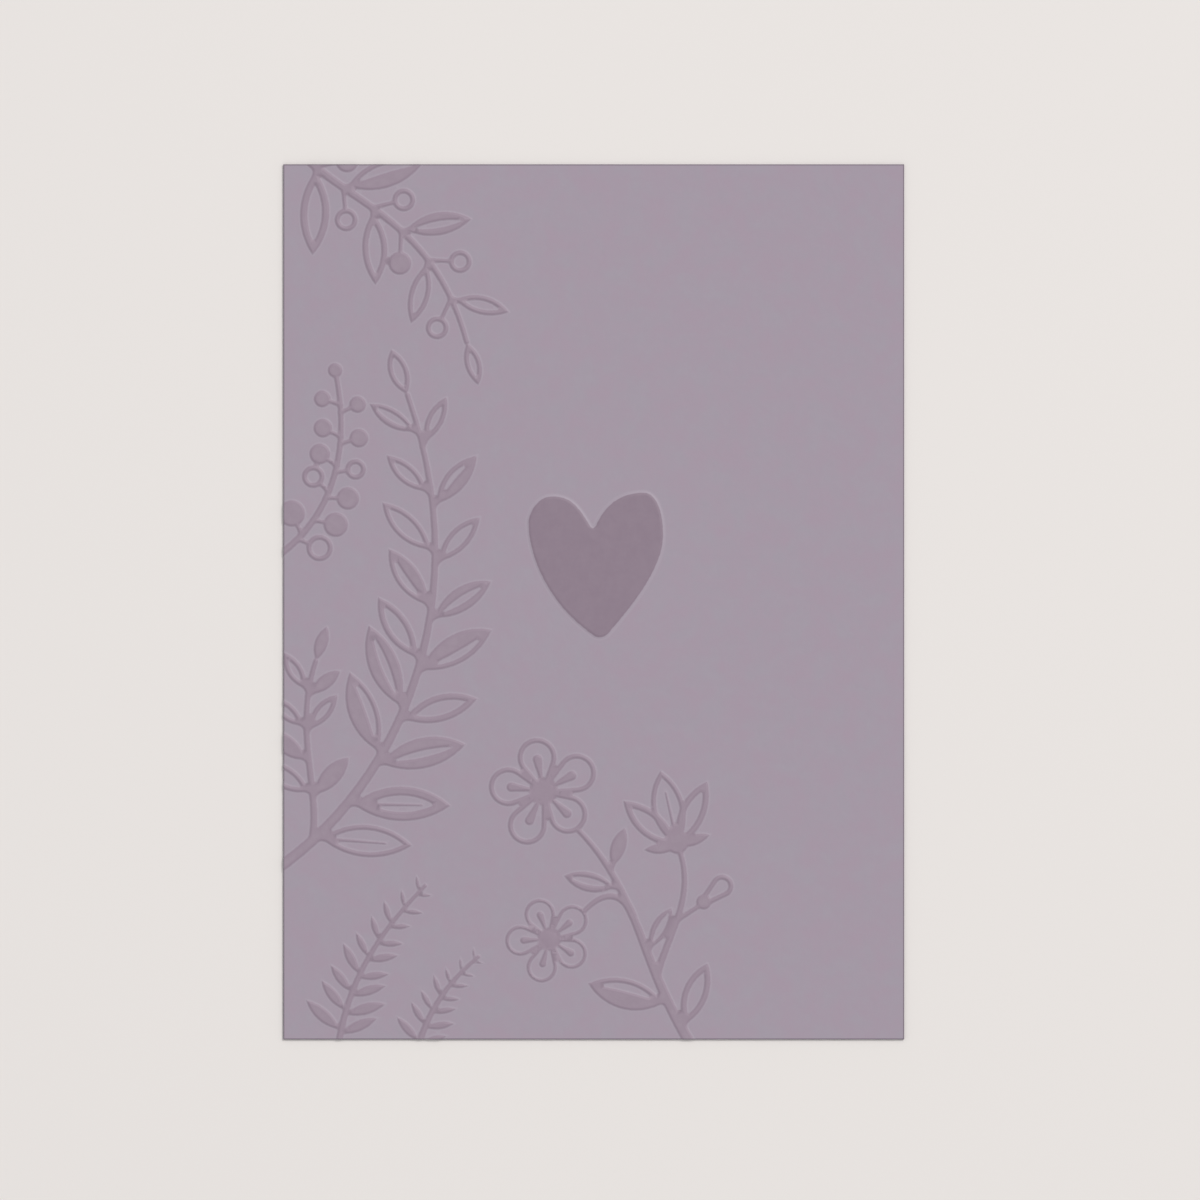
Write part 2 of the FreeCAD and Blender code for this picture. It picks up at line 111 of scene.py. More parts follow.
# Rounded stroke: two circles of their own radii and the lines that touch both. In the stroke's own
# directions, a point is measured from the start circle, the end circle or the line between them.
def capsuleDistance(x, y, start, startRadius, end, endRadius):
    run = math.dist(start, end)
    angle = math.atan2(end[1] - start[1], end[0] - start[0])
    along = (x - start[0]) * math.cos(angle) + (y - start[1]) * math.sin(angle)
    across = np.abs((y - start[1]) * math.cos(angle) - (x - start[0]) * math.sin(angle))
    lean = (startRadius - endRadius) / run
    upright = math.sqrt(1 - lean * lean)
    side = upright * along - lean * across
    byLine = upright * across + lean * along - startRadius
    byStart = np.hypot(across, along) - startRadius
    byEnd = np.hypot(across, along - run) - endRadius
    return np.where(side < 0, byStart, np.where(side > upright * run, byEnd, byLine))


# Round spot: how far the point is from the centre, less the radius.
def discDistance(x, y, centre, radius):
    return np.hypot(x - centre[0], y - centre[1]) - radius


# For every point and every straight run: the share of the run at its place nearest to the point, by
# the dot product with the run, kept within its ends, and the distance to that place.
def toRuns(x, y, starts, ends):
    (ax, ay), (dx, dy) = starts.T, (ends - starts).T
    x, y = x[..., None] - ax, y[..., None] - ay
    share = np.clip((x * dx + y * dy) / (dx * dx + dy * dy), 0, 1)
    return share, np.hypot(x - share * dx, y - share * dy)


# Tapering band along a curve: the least, over short straight runs of the curve, of the distance to
# the run less the band's half width at the nearest place on it.
def stemDistance(x, y, curve, footWidth, tipWidth):
    runs = traced["stemRuns"]
    knots = placeOn(curve, np.linspace(0, 1, runs + 1))[0]
    share, distances = toRuns(x, y, knots[:-1], knots[1:])
    widths = footWidth + (tipWidth - footWidth) * (np.arange(runs) + share) / runs
    return (distances - widths / 2).min(axis=-1)


# Closed outline: the distance to its nearest straight run, negative where a line drawn from the
# point to the right crosses the outline an odd number of times.
def outlineDistance(x, y, outline):
    starts, ends = outline, np.roll(outline, -1, axis=0)
    nearest = toRuns(x, y, starts, ends)[1].min(axis=-1)
    (ax, ay), (bx, by) = starts.T, ends.T
    spans = (ay > y[..., None]) != (by > y[..., None])
    rise = np.where(by == ay, 1.0, by - ay)  # a level run is never spanned
    crossed = spans & (x[..., None] < ax + (bx - ax) * (y[..., None] - ay) / rise)
    return np.where(crossed.sum(axis=-1) % 2 == 1, -nearest, nearest)


# Points on a circle at the given angles.
def arc(centre, radius, angles):
    return np.stack([centre[0] + radius * np.cos(angles), centre[1] + radius * np.sin(angles)], axis=1)


# Keep a stroke: how its distance is worked out, its shape, its outer outline, the points along its
# middle, the width of its line if it is drawn hollow, the leaf shape of its slit if it has one, and
# the box within which it counts.
def addStroke(distance, shape, outline, spine=(), line=0.0, slit=None):
    strokes.append({
        "distance": distance, "shape": shape, "outline": outline, "spine": spine, "line": line,
        "slit": slit,
        "low": outline.min(axis=0) - strokeReach, "high": outline.max(axis=0) + strokeReach,
    })


# The leaf's outline: each of its two arcs spans, to either side of its middle, the angle whose sine
# is half the leaf's length over the arc's radius.
def lensOutline(base, angle, length, upper, lower):
    half = length / 2
    middle = step(base, angle, half)
    arcs = []
    for rise, across in ((upper, angle + math.pi / 2), (lower, angle - math.pi / 2)):
        radius = (half**2 + rise**2) / (2 * rise)
        reach = math.asin(half / radius)
        centre = step(middle, across, rise - radius)
        turns = np.linspace(reach, -reach, traced["lensSide"])[:-1]
        arcs.append(arc(centre, radius, across + turns))
    return np.concatenate(arcs)


# Keep a leaf, or part of one, as a stroke.
def addLens(base, angle, length, upper, lower, line=0.0, slit=None):
    shape = (base, angle, length, upper, lower)
    addStroke(lensDistance, shape, lensOutline(*shape), line=line, slit=slit)


# The rounded stroke's outline: a direction is on the end circle where its cosine, measured from the
# stroke's own direction, is above the stroke's lean, and else on the start circle.
def addCapsule(start, startRadius, end, endRadius, line=0.0):
    run = math.dist(start, end)
    angle = math.atan2(end[1] - start[1], end[0] - start[0])
    turns = np.linspace(0, math.tau, traced["capsule"])[:-1]
    atEnd = (np.cos(turns) > (startRadius - endRadius) / run)[:, None]
    outline = np.where(atEnd, arc(end, endRadius, angle + turns), arc(start, startRadius, angle + turns))
    spine = () if line else np.linspace(start, end, traced["capsuleSpine"])
    addStroke(capsuleDistance, (start, startRadius, end, endRadius), outline, spine, line)


# Keep a round spot or, where it has a line, a ring.
def addDisc(centre, radius, line=0.0):
    turns = np.linspace(0, math.tau, traced["disc"])[:-1]
    addStroke(discDistance, (centre, radius), arc(centre, radius, turns), line=line)


# The band's outline: up one side, round its tip and down the other.
def addStem(curve, footWidth, tipWidth):
    shares = np.linspace(0, 1, traced["stem"])
    spine, angles = placeOn(curve, shares)
    half = (footWidth + (tipWidth - footWidth) * shares)[:, None] / 2
    across = np.stack([-np.sin(angles), np.cos(angles)], axis=1)
    turns = np.linspace(math.pi / 2, -math.pi / 2, traced["stemTip"])
    tip = arc(spine[-1], tipWidth / 2, angles[-1] + turns)
    outline = np.concatenate([spine + half * across, tip, (spine - half * across)[::-1]])
    addStroke(stemDistance, (curve, footWidth, tipWidth), outline, spine)


leafForm = {
    "upperHalf": 1.06, "lowerHalf": 0.94,  # the upper half is a little fuller than the lower
    "bandShare": 0.3,                      # a band takes no more of the leaf's width than this
    "hollowFrom": 2.2,                     # a leaf less than this many lines wide is solid
    "slitStart": 0.2, "slitLength": 0.6,   # shares of the leaf's length
    "slitFrom": 3.0,                       # a leaf has a slit if it is this many slits wide
    "halfBulge": 1 / 3,                    # how far a filled half passes the middle, in lines
    "ribLength": 0.7, "ribTip": 0.65,      # shares of the leaf's length and of the rib's foot
    "ribFrom": 2.2,                        # a hollow has a rib if it is this many ribs wide
}


# One leaf. slim is half its width as a share of its length. Its fill is a rib, nothing (open), all
# of it (solid), all but a slit along its middle (slit), its upper or lower half, or a broad band all
# round and a rib (banded). A rib or slit is left out where its leaf is narrow.
def drawLeaf(base, angle, length, slim, fill="rib", stalk=0.0):
    line, slitWidth, ribWidth = pen["outline"], pen["slit"], pen["rib"]
    start = step(base, angle, stalk)
    if stalk:
        addCapsule(base, pen["stalk"] / 2, step(start, angle, line), pen["stalk"] / 2)
    upper = leafForm["upperHalf"] * slim * length
    lower = leafForm["lowerHalf"] * slim * length
    width = upper + lower
    if fill == "banded":
        line = max(line, min(pen["band"], leafForm["bandShare"] * width))
    solid = fill in ("solid", "slit") or width < leafForm["hollowFrom"] * line
    slit = None
    if fill == "slit" and width > leafForm["slitFrom"] * slitWidth:
        slitStart = step(start, angle, leafForm["slitStart"] * length)
        slit = (slitStart, angle, leafForm["slitLength"] * length, slitWidth / 2, slitWidth / 2)
    addLens(start, angle, length, upper, lower, 0.0 if solid else line, slit)
    if fill == "upper":
        addLens(start, angle, length, upper, leafForm["halfBulge"] * line)
    if fill == "lower":
        addLens(start, angle, length, leafForm["halfBulge"] * line, lower)
    if fill in ("rib", "banded") and width - 2 * line > leafForm["ribFrom"] * ribWidth:
        ribEnd = step(start, angle, leafForm["ribLength"] * length)
        addCapsule(start, ribWidth / 2, ribEnd, leafForm["ribTip"] * ribWidth / 2)


pairForm = {
    "stagger": 0.02,                      # share of the stem that a right-hand leaf is lower by
    "closing": 8,                         # degrees less that the topmost leaves stand out by
    "turn": 3, "turnWave": 3.1,           # degrees, and how fast that changes from pair to pair
    "stretch": 0.07, "stretchWave": 2.2,  # share of a leaf's length, and how fast it changes
    "sideWave": 1.3,                      # how much it differs between the sides
}


# Leaves on both sides of a stem, evenly spaced, shorter towards its tip. Slow sine waves in their
# angle and length keep them uneven, as if drawn by hand.
def drawLeafPairs(curve, longest, leaves, missing=()):
    for k in range(leaves["pairs"]):
        up = k / (leaves["pairs"] - 1)
        for side in (1, -1):
            if (k, side) in missing:
                continue
            share = leaves["first"] + (leaves["last"] - leaves["first"]) * up
            point, angle = placeOn(curve, share - (pairForm["stagger"] if side < 0 else 0))
            wave = math.sin(pairForm["turnWave"] * k + side)
            turn = leaves["angle"] - pairForm["closing"] * up + pairForm["turn"] * wave
            wave = math.sin(pairForm["stretchWave"] * k + pairForm["sideWave"] * side)
            length = longest * (1 + (leaves["taper"] - 1) * up) * (1 + pairForm["stretch"] * wave)
            fill = leaves["fills"][(k + 1 + side) % len(leaves["fills"])]
            drawLeaf(point, angle + side * math.radians(turn), length, leaves["slim"], fill,
                     leaves["stalk"])


def drawTipLeaf(curve, length, slim, fill="rib"):
    point, angle = placeOn(curve, 1)
    drawLeaf(point, angle, length, slim, fill)


blossomForm = {                            # shares of the blossom's radius, unless it says else
    "petals": 5,                           # a count
    "petalFoot": 0.28, "footRadius": 0.2,  # where a petal's narrow end is, and its radius
    "petalEnd": 0.63, "endRadius": 0.36,   # and its wide end
    "stretch": 0.06, "stretchWave": 2.3,   # share of a petal's length, and how fast it changes
    "veinFoot": 0.15, "veinEnd": 0.57, "veinRadius": 0.1,
    "veinPoint": 0.3,                      # the vein's radius at its foot, in lines
    "eye": 0.2,
    "line": 1 / 8,                         # its outlines are no wider than this
}


# Round petals about a solid eye, with a drop-shaped vein inside each petal.
def drawBlossom(centre, radius, turn):
    form = blossomForm
    line = min(pen["outline"], form["line"] * radius)
    for k in range(form["petals"]):
        angle = turn + k * math.tau / form["petals"]
        stretch = 1 + form["stretch"] * math.sin(form["stretchWave"] * k + 3 * turn)
        narrow = step(centre, angle, form["petalFoot"] * radius)
        wide = step(centre, angle, form["petalEnd"] * radius * stretch)
        addCapsule(narrow, form["footRadius"] * radius, wide, form["endRadius"] * radius, line)
        veinFoot = step(centre, angle, form["veinFoot"] * radius)
        veinEnd = step(centre, angle, form["veinEnd"] * radius)
        addCapsule(veinFoot, form["veinPoint"] * line, veinEnd, form["veinRadius"] * radius)
    addDisc(centre, form["eye"] * radius)


halfBlossomForm = {  # lengths as shares of the blossom's, angles in degrees
    "sepalTurn": 82, "sepal": 0.45, "sepalSlim": 0.17,
    "petalTurn": 37, "petal": 0.92, "petalSlim": 0.19,
    "middleSlim": 0.22,
    "cupAt": 0.05, "cup": 0.15,
}


# Blossom seen from the side: three pointed petals over two small sepals.
def drawHalfBlossom(base, angle, length):
    form = halfBlossomForm
    for side in (-1, 1):
        sepalAngle = angle + side * math.radians(form["sepalTurn"])
        petalAngle = angle + side * math.radians(form["petalTurn"])
        drawLeaf(base, sepalAngle, form["sepal"] * length, form["sepalSlim"], "solid")
        drawLeaf(base, petalAngle, form["petal"] * length, form["petalSlim"], "banded")
    drawLeaf(base, angle, length, form["middleSlim"])
    addDisc(step(base, angle, form["cupAt"] * length), form["cup"] * length)


budForm = {                           # shares of the bud's length
    "narrowAt": 0.3, "narrow": 0.18,  # where its narrow end is, and its radius
    "wideAt": 0.72, "wide": 0.29,     # and its wide end
    "cupAt": 0.15, "cup": 0.2,
}


# Closed bud: an egg-shaped outline on a solid cup.
def drawBud(base, angle, length):
    form = budForm
    narrow = step(base, angle, form["narrowAt"] * length)
    wide = step(base, angle, form["wideAt"] * length)
    addCapsule(narrow, form["narrow"] * length, wide, form["wide"] * length, pen["outline"])
    addDisc(step(base, angle, form["cupAt"] * length), form["cup"] * length)


# Branch with pairs of leaves, from the left edge, and a leafy twig beside it.
branch = {
    "stem": [(-4, 27), (18, 40), (34, 72), (21, 109)],
    "longest": 17.0,
    "leaves": {
        "pairs": 9, "first": 0.17, "last": 0.94, "taper": 0.54, "angle": 50,
        "slim": 0.182, "stalk": 0.8,
        "fills": ["rib", "banded", "slit", "banded", "upper", "slit", "banded", "lower"],
    },
    "missing": [(0, 1), (1, 1)],  # leaves left out, each by its pair and its side
    "tipLeaf": 8.4, "tipSlim": 0.22,
    "twigFrom": 0.14,
    "twig": [(6.5, 42), (1.5, 52), (5.5, 64)],
    "twigLongest": 9.4,
    "twigLeaves": {
        "pairs": 4, "first": 0.3, "last": 0.85, "taper": 0.76, "angle": 50,
        "slim": 0.2, "stalk": 0.5, "fills": ["solid", "open", "banded"],
    },
    "twigMissing": [(1, -1)],
    "twigTipLeaf": 6.4, "twigTipSlim": 0.2,
}


def drawBranch():
    addStem(branch["stem"], pen["stem"], pen["shoot"])
    drawLeafPairs(branch["stem"], branch["longest"], branch["leaves"], branch["missing"])
    drawTipLeaf(branch["stem"], branch["tipLeaf"], branch["tipSlim"])
    twig = [placeOn(branch["stem"], branch["twigFrom"])[0], *branch["twig"]]
    addStem(twig, pen["twig"], pen["shoot"])
    drawLeafPairs(twig, branch["twigLongest"], branch["twigLeaves"], branch["twigMissing"])
    drawTipLeaf(twig, branch["twigTipLeaf"], branch["twigTipSlim"], "open")


# Spray with two open blossoms, one half open and a bud, from the bottom edge.
spray = {
    "stem": [(71, -4), (60, 12), (61, 24), (50, 35.3)],
    "blossom": (44, 42), "blossomRadius": 9.6, "blossomTurn": 0.5,
    "twigFrom": 0.33,
    "twig": [(65, 18), (70, 24), (66.8, 32.6)],
    "halfBlossomAngle": 103,  # degrees from the sheet's foot
    "budFrom": 0.45, "budStalk": 4.5, "budStalkTurn": 38, "budStalkTip": 0.9,
    "bud": 7.2, "budTurn": 30,
    "lowerTwigFrom": 0.6,
    "lowerTwig": [(57, 25.5), (53.8, 24.8), (51, 21.8)],
    "lowerBlossom": (45, 17), "lowerRadius": 7.6, "lowerTurn": 0.68,
    "longest": 13.4,
    "leafTurn": 50, "leafSlim": 0.2, "leafStalk": 0.8,
    "leaves": [  # where on the stem, which side, how much of the longest leaf, its fill
        (0.12, -1, 0.86, "banded"), (0.22, 1, 1.0, "upper"), (0.43, -1, 0.6, "slit"),
        (0.72, 1, 0.68, "slit"), (0.8, -1, 0.54, "solid"),
    ],
}


def drawSpray():
    shoot = pen["shoot"]
    addStem(spray["stem"], pen["stem"], shoot)
    drawBlossom(spray["blossom"], spray["blossomRadius"], spray["blossomTurn"])
    twig = [placeOn(spray["stem"], spray["twigFrom"])[0], *spray["twig"]]
    addStem(twig, pen["twig"], shoot)
    drawHalfBlossom(twig[-1], math.radians(spray["halfBlossomAngle"]), spray["longest"])
    fork, angle = placeOn(twig, spray["budFrom"])
    cup = step(fork, angle - math.radians(spray["budStalkTurn"]), spray["budStalk"])
    addCapsule(fork, shoot / 2, cup, spray["budStalkTip"] * shoot / 2)
    drawBud(cup, angle - math.radians(spray["budTurn"]), spray["bud"])
    lowerTwig = [placeOn(spray["stem"], spray["lowerTwigFrom"])[0], *spray["lowerTwig"]]
    addStem(lowerTwig, pen["twig"], shoot)
    drawBlossom(spray["lowerBlossom"], spray["lowerRadius"], spray["lowerTurn"])
    for share, side, partOfLongest, fill in spray["leaves"]:
        point, angle = placeOn(spray["stem"], share)
        heading = angle + side * math.radians(spray["leafTurn"])
        length = partOfLongest * spray["longest"]
        drawLeaf(point, heading, length, spray["leafSlim"], fill, spray["leafStalk"])


# Sprig that hangs from the top edge, its places measured from the upper left corner. Each node has
# a slim leaf on one side and a berry on the other.
sprig = {
    "stem": [(1, 4), (10, -7), (25, -8), (31, -30)],
    "foot": 0.8,          # share of a full stem's width
    "nodes": 6, "first": 0.15, "last": 0.875,
    "longest": 14.6,
    "shortening": 1 / 3,  # share of its length that the lowest leaf loses
    "leafAngle": 52, "leafSlim": 0.18, "leafStalk": 0.6,
    "berryAngle": 50, "berryStalk": 3.9, "stalkTip": 0.9,
    "berryRadius": 2.1,
    "berrySeat": 0.75,    # from the stalk's end to its middle, in radii
    "solidEvery": 3,      # one berry in so many is solid
    "fills": ["banded", "lower", "banded", "slit", "banded", "rib"],
    "tipLeaf": 7.8, "tipSlim": 0.2,
}


def drawSprig():
    stem = [(x, cardHeight + y) for x, y in sprig["stem"]]
    addStem(stem, sprig["foot"] * pen["stem"], pen["shoot"])
    stalkRadius = pen["stalk"] / 2
    for k in range(sprig["nodes"]):
        down = k / (sprig["nodes"] - 1)
        point, angle = placeOn(stem, sprig["first"] + (sprig["last"] - sprig["first"]) * down)
        side = 1 if k % 2 else -1
        heading = angle + side * math.radians(sprig["leafAngle"])
        length = sprig["longest"] * (1 - sprig["shortening"] * down)
        drawLeaf(point, heading, length, sprig["leafSlim"], sprig["fills"][k], sprig["leafStalk"])
        heading = angle - side * math.radians(sprig["berryAngle"])
        foot = step(point, heading, sprig["berryStalk"])
        addCapsule(point, stalkRadius, foot, sprig["stalkTip"] * stalkRadius)
        centre = step(foot, heading, sprig["berrySeat"] * sprig["berryRadius"])
        addDisc(centre, sprig["berryRadius"], pen["outline"] if k % sprig["solidEvery"] else 0.0)
    drawTipLeaf(stem, sprig["tipLeaf"], sprig["tipSlim"])


# Twig of round leaves like coins, from the left edge, in pairs and then one at its tip. They get
# smaller towards the tip, and some of the larger ones are rings.
coinTwig = {
    "stem": [(-4, 80), (6, 85), (12, 96), (9, 112)],
    "pairs": 6, "first": 0.27, "last": 0.9, "angle": 67,
    "stagger": 0.03,                 # share of the stem that a right-hand leaf is lower by
    "largest": 2.4, "taper": 0.66, "stalk": 1.0, "stalkTip": 0.9,
    "ringEvery": 3,                  # how often a leaf is a ring
    "ringFrom": 1.5,                 # if its radius is more than this many lines
    "missing": [(1, 1)],
    "tipAt": 1.2, "tipRadius": 1.4,  # the last leaf, from the end of the stem
}


def drawCoinTwig():
    stem = coinTwig["stem"]
    addStem(stem, pen["twig"], pen["shoot"])
    for k in range(coinTwig["pairs"]):
        up = k / (coinTwig["pairs"] - 1)
        radius = coinTwig["largest"] * (1 + (coinTwig["taper"] - 1) * up)
        for side in (1, -1):
            if (k, side) in coinTwig["missing"]:
                continue
            share = coinTwig["first"] + (coinTwig["last"] - coinTwig["first"]) * up
            point, angle = placeOn(stem, share - (coinTwig["stagger"] if side < 0 else 0))
            heading = angle + side * math.radians(coinTwig["angle"])
            reach = pen["shoot"] / 2 + coinTwig["stalk"]
            foot = step(point, heading, reach + pen["outline"] / 4)
            addCapsule(point, pen["stalk"] / 2, foot, coinTwig["stalkTip"] * pen["stalk"] / 2)
            ring = (k + (side > 0)) % coinTwig["ringEvery"] == 0
            ring = ring and radius > coinTwig["ringFrom"] * pen["outline"]
            addDisc(step(point, heading, reach + radius), radius, pen["outline"] if ring else 0.0)
    point, angle = placeOn(stem, 1)
    addDisc(step(point, angle, coinTwig["tipAt"]), coinTwig["tipRadius"])


# Two fronds of small solid leaflets, side by side from the bottom edge.
fernLeaves = {
    "first": 0.16, "last": 0.96, "taper": 0.4, "angle": 58,
    "slim": 0.15, "stalk": 0.0, "fills": ["solid"],
}
fernTip = 0.8  # width of a fern's tip, as a share of a shoot's
ferns = [
    {"stem": [(9, -4), (10, 8), (15, 17), (24, 26)], "pairs": 9, "longest": 7.6},
    {"stem": [(22, -4), (24, 4), (27, 9), (33, 14)], "pairs": 7, "longest": 5.6},
]


def drawFerns():
    for fern in ferns:
        addStem(fern["stem"], pen["twig"], fernTip * pen["shoot"])
        drawLeafPairs(fern["stem"], fern["longest"], dict(fernLeaves, pairs=fern["pairs"]))


# The heart's curves, as shares of half its width and height from its middle: the notch, the left
# lobe, the left side, the rounded tip, the right side, and the right lobe, which is a little higher.
heart = {
    "width": 23.6, "height": 25.3,
    "right": 0.34, "up": 6.23,  # its middle, from the middle of the card
    "rim": 0.42,                # bare card left round its dark field
    "slope": 0.9,               # width of its sloping side
    "around": 1.0,              # that slope holds this far out from it
    "curves": [
        (-0.04, 0.52),
        (-0.19, 0.75), (-0.30, 0.95), (-0.62, 0.95),
        (-0.89, 0.95), (-1.00, 0.66), (-1.00, 0.58),
        (-1.00, 0.14), (-0.74, -0.53), (-0.03, -0.98),
        (0.03, -1.01), (0.13, -1.01), (0.21, -0.93),
        (0.47, -0.64), (1.00, -0.09), (1.00, 0.40),
        (1.00, 0.76), (0.88, 1.00), (0.69, 1.00),
        (0.31, 1.00), (0.09, 0.80), (-0.04, 0.52),
    ],
}


# Points along the heart's curves, each curve taken in equal steps of its parameter.
def heartOutline():
    middle = np.array([cardWidth / 2 + heart["right"], cardHeight / 2 + heart["up"]])
    points = middle + np.array(heart["curves"]) * (heart["width"] / 2, heart["height"] / 2)
    shares = np.arange(traced["heartCurve"]) / traced["heartCurve"]
    return np.concatenate([placeOn(points[k:k + 4], shares)[0] for k in range(0, len(points) - 1, 3)])


# Distance from the nearest stroke, negative inside. Each stroke in turn is joined to the rest by a
# smooth minimum: the lesser of the two, less a little where they are nearly equal.
def pressedDistance(x, y):
    nearest = np.full(x.shape, strokeReach)
    soft = press["junction"]
    for stroke in strokes:
        (lowX, lowY), (highX, highY) = stroke["low"], stroke["high"]
        near = np.flatnonzero((x > lowX) & (x < highX) & (y > lowY) & (y < highY))
        if not near.size:
            continue
        distance = stroke["distance"](x[near], y[near], *stroke["shape"])
        if stroke["line"]:
            distance = np.abs(distance + stroke["line"] / 2) - stroke["line"] / 2
        if stroke["slit"]:
            distance = np.maximum(distance, -lensDistance(x[near], y[near], *stroke["slit"]))
        before = nearest[near]
        share = np.clip(0.5 + 0.5 * (before - distance) / soft, 0, 1)
        nearest[near] = before + (distance - before) * share - soft * share * (1 - share)
    return nearest


# Smooth step: 3t^2 - 2t^3, flat at both ends.
def smoothStep(t):
    t = np.clip(t, 0, 1)
    return t * t * (3 - 2 * t)


# Height of the face: the plain card, and a smooth step up over the slope's width inside each stroke.
# The heart, which stands clear of the strokes, has a wider slope.
def faceHeight(x, y):
    byHeart = np.abs(x - cardWidth / 2 - heart["right"]) < heart["width"] / 2 + heart["around"]
    byHeart &= np.abs(y - cardHeight / 2 - heart["up"]) < heart["height"] / 2 + heart["around"]
    slope = np.where(byHeart, heart["slope"], press["slope"])
    return cardDepth - press["rise"] + press["rise"] * smoothStep(-pressedDistance(x, y) / slope)


# Height of the back: the same smooth step, starting further inside the strokes.
def backHeight(x, y):
    depth = (-pressedDistance(x, y) - press["backInset"]) / press["backSlope"]
    return press["rise"] * smoothStep(depth)


sheetMesh = {              # in mm, unless it says else
    "faceSpacing": 0.26,   # between points along the strokes on the face
    "backSpacing": 0.5,    # and on the back
    "faceRows": (0, 0.25, 0.5, 0.75, 1),  # rows of points that follow the strokes, by how much
    "backRows": (0, 0.5, 1),              # of the slope they have passed, on the face and the back
    "outside": 0.25,       # from the strokes on the face to one more row round them
    "ground": 1.6,         # between points on flat ground
    "ringSpacing": 0.4,    # between points along the cut edges
    "rings": (0.3, 0.75),  # how far in from the cut edges more rows of points follow them
    "margin": 0.1,         # no other point is this close to the rounding of the cut edges
    "thin": 0.35,          # points closer than this share of the spacing are thinned out
    "covered": 0.15,       # an outline's point this deep inside the strokes is left out
    "joinReach": 0.3,      # how far a point moves from its own outline to the joined one
    "rowReach": 0.2,       # how far it moves from there to its row, besides
    "rowSlant": 1.3,       # this many times the row's depth
    "spineDepth": 0.05,    # points along a stroke's middle are this much deeper than its sides
    "pulls": 4,            # how many times a point is moved down the distance's slope
    "gentlest": 0.3,       # the square of that slope is taken as no less than this
    "miss": 0.01,          # a point this near its line is on it
}


# Upward normals of a height over the plane, from its rise over a short step each way.
def normalsOf(height, x, y, probe=0.02):
    slopeX = (height(x + probe, y) - height(x - probe, y)) / (2 * probe)
    slopeY = (height(x, y + probe) - height(x, y - probe)) / (2 * probe)
    normals = np.stack([-slopeX, -slopeY, np.ones(x.shape)], axis=1)
    return normals / np.linalg.norm(normals, axis=1, keepdims=True)


# Points spaced evenly along a closed outline or an open path.
def evenly(path, spacing, closed=True):
    if closed:
        path = np.concatenate([path, path[:1]])
    lengths = np.concatenate([[0.0], np.cumsum(np.hypot(*np.diff(path, axis=0).T))])
    places = np.linspace(0, lengths[-1], max(4, round(lengths[-1] / spacing)) + 1)[:-1]
    return np.stack([np.interp(places, lengths, path[:, k]) for k in (0, 1)], axis=1)


# Moves points onto the line where a distance is level, by a few steps down the distance's slope, and
# keeps those that reach it within a short way.
def pullTo(level, points, distance, furthest, probe=0.01):
    x, y = points.T
    for _ in range(sheetMesh["pulls"]):
        off = distance(x, y) - level
        slopeX = (distance(x + probe, y) - distance(x - probe, y)) / (2 * probe)
        slopeY = (distance(x, y + probe) - distance(x, y - probe)) / (2 * probe)
        steepness = np.maximum(slopeX**2 + slopeY**2, sheetMesh["gentlest"])
        x, y = x - off * slopeX / steepness, y - off * slopeY / steepness
    moved = np.hypot(x - points[:, 0], y - points[:, 1])
    reached = (np.abs(distance(x, y) - level) < sheetMesh["miss"]) & (moved < furthest)
    return np.stack([x[reached], y[reached]], axis=1)


# Points along the outlines of the strokes, those of hollows and slits as well, wherever no other
# stroke covers them, and points along the strokes' middles.
def strokePoints(spacing):
    outlines, spines = [], []
    for stroke in strokes:
        outer = evenly(stroke["outline"], spacing)
        outlines.append(outer)
        if len(stroke["spine"]):
            spines.append(evenly(stroke["spine"], spacing, closed=False))
        line = stroke["line"]
        if line:
            own = lambda x, y: stroke["distance"](x, y, *stroke["shape"])
            outlines.append(pullTo(-line, outer, own, 3 * line))
            spines.append(pullTo(-line / 2, outer, own, 2 * line))
        if stroke["slit"]:
            outlines.append(evenly(lensOutline(*stroke["slit"]), spacing))
    outlines, spines = np.concatenate(outlines), np.concatenate(spines)
    uncovered = pressedDistance(*outlines.T) > -sheetMesh["covered"]
    contour = pullTo(0.0, outlines[uncovered], pressedDistance, sheetMesh["joinReach"])
    return contour, spines


# Drops points that share a small square of the plane with an earlier point.
def thinOut(points, size):
    squares = np.floor(points / size).astype(int)
    return points[np.sort(np.unique(squares, axis=0, return_index=True)[1])]


# Points for one side of the sheet: a lattice on the flat ground, and rows of points that follow the
# strokes' outlines at each level of depth inside them. Where the side is coloured, a sparser row just
# outside the strokes keeps their colours from reaching across narrow ground.
def sidePoints(levels, spacing, outside=None):
    contour, spines = strokePoints(spacing)
    ground = sheetMesh["ground"]

    def rowAt(level, along):
        reach = sheetMesh["rowReach"] + sheetMesh["rowSlant"] * abs(level)
        return pullTo(level, along, pressedDistance, reach)

    rows = [rowAt(level, contour) for level in levels]
    if outside:
        rows.append(rowAt(outside, contour[::2]))
    ridge = spines[pressedDistance(*spines.T) < levels[0] - sheetMesh["spineDepth"]]
    across, up = np.meshgrid(np.arange(ground, cardWidth, ground), np.arange(ground, cardHeight, ground))
    lattice = np.stack([across.ravel(), up.ravel()], axis=1)
    gap = np.min([np.abs(pressedDistance(*lattice.T) - level) for level in levels], axis=0)
    points = thinOut(np.concatenate([*rows, ridge]), sheetMesh["thin"] * spacing)
    points = np.concatenate([points, lattice[gap > spacing]])
    clear = press["cutRound"] + sheetMesh["margin"]
    inside = (points > clear) & (points < np.array([cardWidth, cardHeight]) - clear)
    return points[inside.all(axis=1)]


